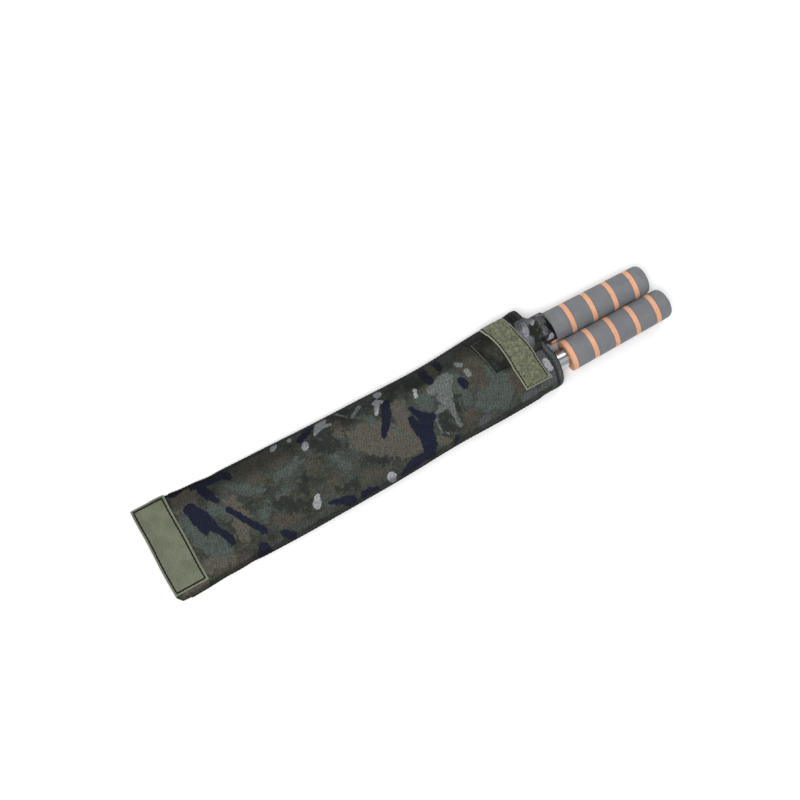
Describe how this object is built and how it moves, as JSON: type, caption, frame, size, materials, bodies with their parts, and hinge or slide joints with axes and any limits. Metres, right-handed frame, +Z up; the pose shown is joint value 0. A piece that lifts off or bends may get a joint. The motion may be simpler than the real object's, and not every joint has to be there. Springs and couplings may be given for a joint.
{
  "type": "sheathed linked stick pair",
  "caption": "Padded camouflage carrying sheath with hook and loop closure tapes, holding two foam-gripped steel sticks that a swivel chain joins.",
  "frame": {"origin": "bottom centre of the bounding box of the whole object, lying on its flat back", "axes": "+X from the sheath's tail to its mouth and grips, +Y to the left stick, +Z up out of the tape side"},
  "size_m": [0.5522, 0.1034, 0.036],
  "materials": {
    "camo_fabric": "brushed twill camouflage cloth, matt",
    "camo_strap": "woven camouflage webbing, matt",
    "seam_cord": "twisted edge cord, matt",
    "hook_tape": "fine moulded hooks on woven tape, satin",
    "loop_tape": "fuzzy loop pile, matt",
    "thread": "sewing thread, matt",
    "grip_foam": "closed cell foam, matt",
    "grip_ring_foam": "closed cell foam, matt",
    "steel_tube": "polished with fine lengthwise lines",
    "swivel_steel": "turned and tumbled",
    "end_plug": "fine texture"
  },
  "bodies": {
    "sheath": {"front_panel": "camo_fabric", "back_panel": "camo_fabric", "mouth_hem": "camo_fabric", "left_side_seam": "seam_cord", "right_side_seam": "seam_cord", "hook_tape": "hook_tape", "hook_tape_stitching": "thread", "loop_tape": "loop_tape", "loop_tape_stitching": "thread", "hem_stitching": "thread", "strap_anchor": "camo_strap"},
    "strap_tab": {"strap_tab": "camo_strap"},
    "chain": {"left_swivel_stud": "swivel_steel", "right_swivel_stud": "swivel_steel", "chain_link_1": "swivel_steel", "chain_link_2": "swivel_steel", "chain_link_3": "swivel_steel", "chain_link_4": "swivel_steel", "chain_link_5": "swivel_steel", "chain_link_6": "swivel_steel", "chain_link_7": "swivel_steel", "chain_link_8": "swivel_steel", "chain_link_9": "swivel_steel"},
    "left_stick": {"left_steel_tube": "steel_tube", "left_ferrule": "swivel_steel", "left_swivel_bearing": "swivel_steel", "left_end_plug": "end_plug", "left_grip_ring_1": "grip_ring_foam", "left_grip_foam_1": "grip_foam", "left_grip_ring_2": "grip_ring_foam", "left_grip_foam_2": "grip_foam", "left_grip_ring_3": "grip_ring_foam", "left_grip_foam_3": "grip_foam", "left_grip_ring_4": "grip_ring_foam", "left_grip_foam_4": "grip_foam", "left_grip_ring_5": "grip_ring_foam", "left_grip_foam_5": "grip_foam"},
    "right_stick": {"right_steel_tube": "steel_tube", "right_ferrule": "swivel_steel", "right_swivel_bearing": "swivel_steel", "right_end_plug": "end_plug", "right_grip_ring_1": "grip_ring_foam", "right_grip_foam_1": "grip_foam", "right_grip_ring_2": "grip_ring_foam", "right_grip_foam_2": "grip_foam", "right_grip_ring_3": "grip_ring_foam", "right_grip_foam_3": "grip_foam", "right_grip_ring_4": "grip_ring_foam", "right_grip_foam_4": "grip_foam", "right_grip_ring_5": "grip_ring_foam", "right_grip_foam_5": "grip_foam"}
  },
  "joints": [
    {"name": "draw", "type": "slide", "parent": "sheath", "child": "chain", "axis": [1, 0, 0], "range_m": [0, 0.25]},
    {"name": "left_stick_spin", "type": "hinge", "parent": "chain", "child": "left_stick", "pos_m": [0, 0.01339, 0.016], "axis": [1, 0, 0], "continuous": true},
    {"name": "right_stick_spin", "type": "hinge", "parent": "chain", "child": "right_stick", "pos_m": [0, -0.01901, 0.016], "axis": [1, 0, 0], "continuous": true},
    {"name": "tab_lift", "type": "hinge", "parent": "sheath", "child": "strap_tab", "pos_m": [0.14075, 0.01339, 0.0342], "axis": [0, -1, 0], "range_deg": [0, 150]}
  ]
}
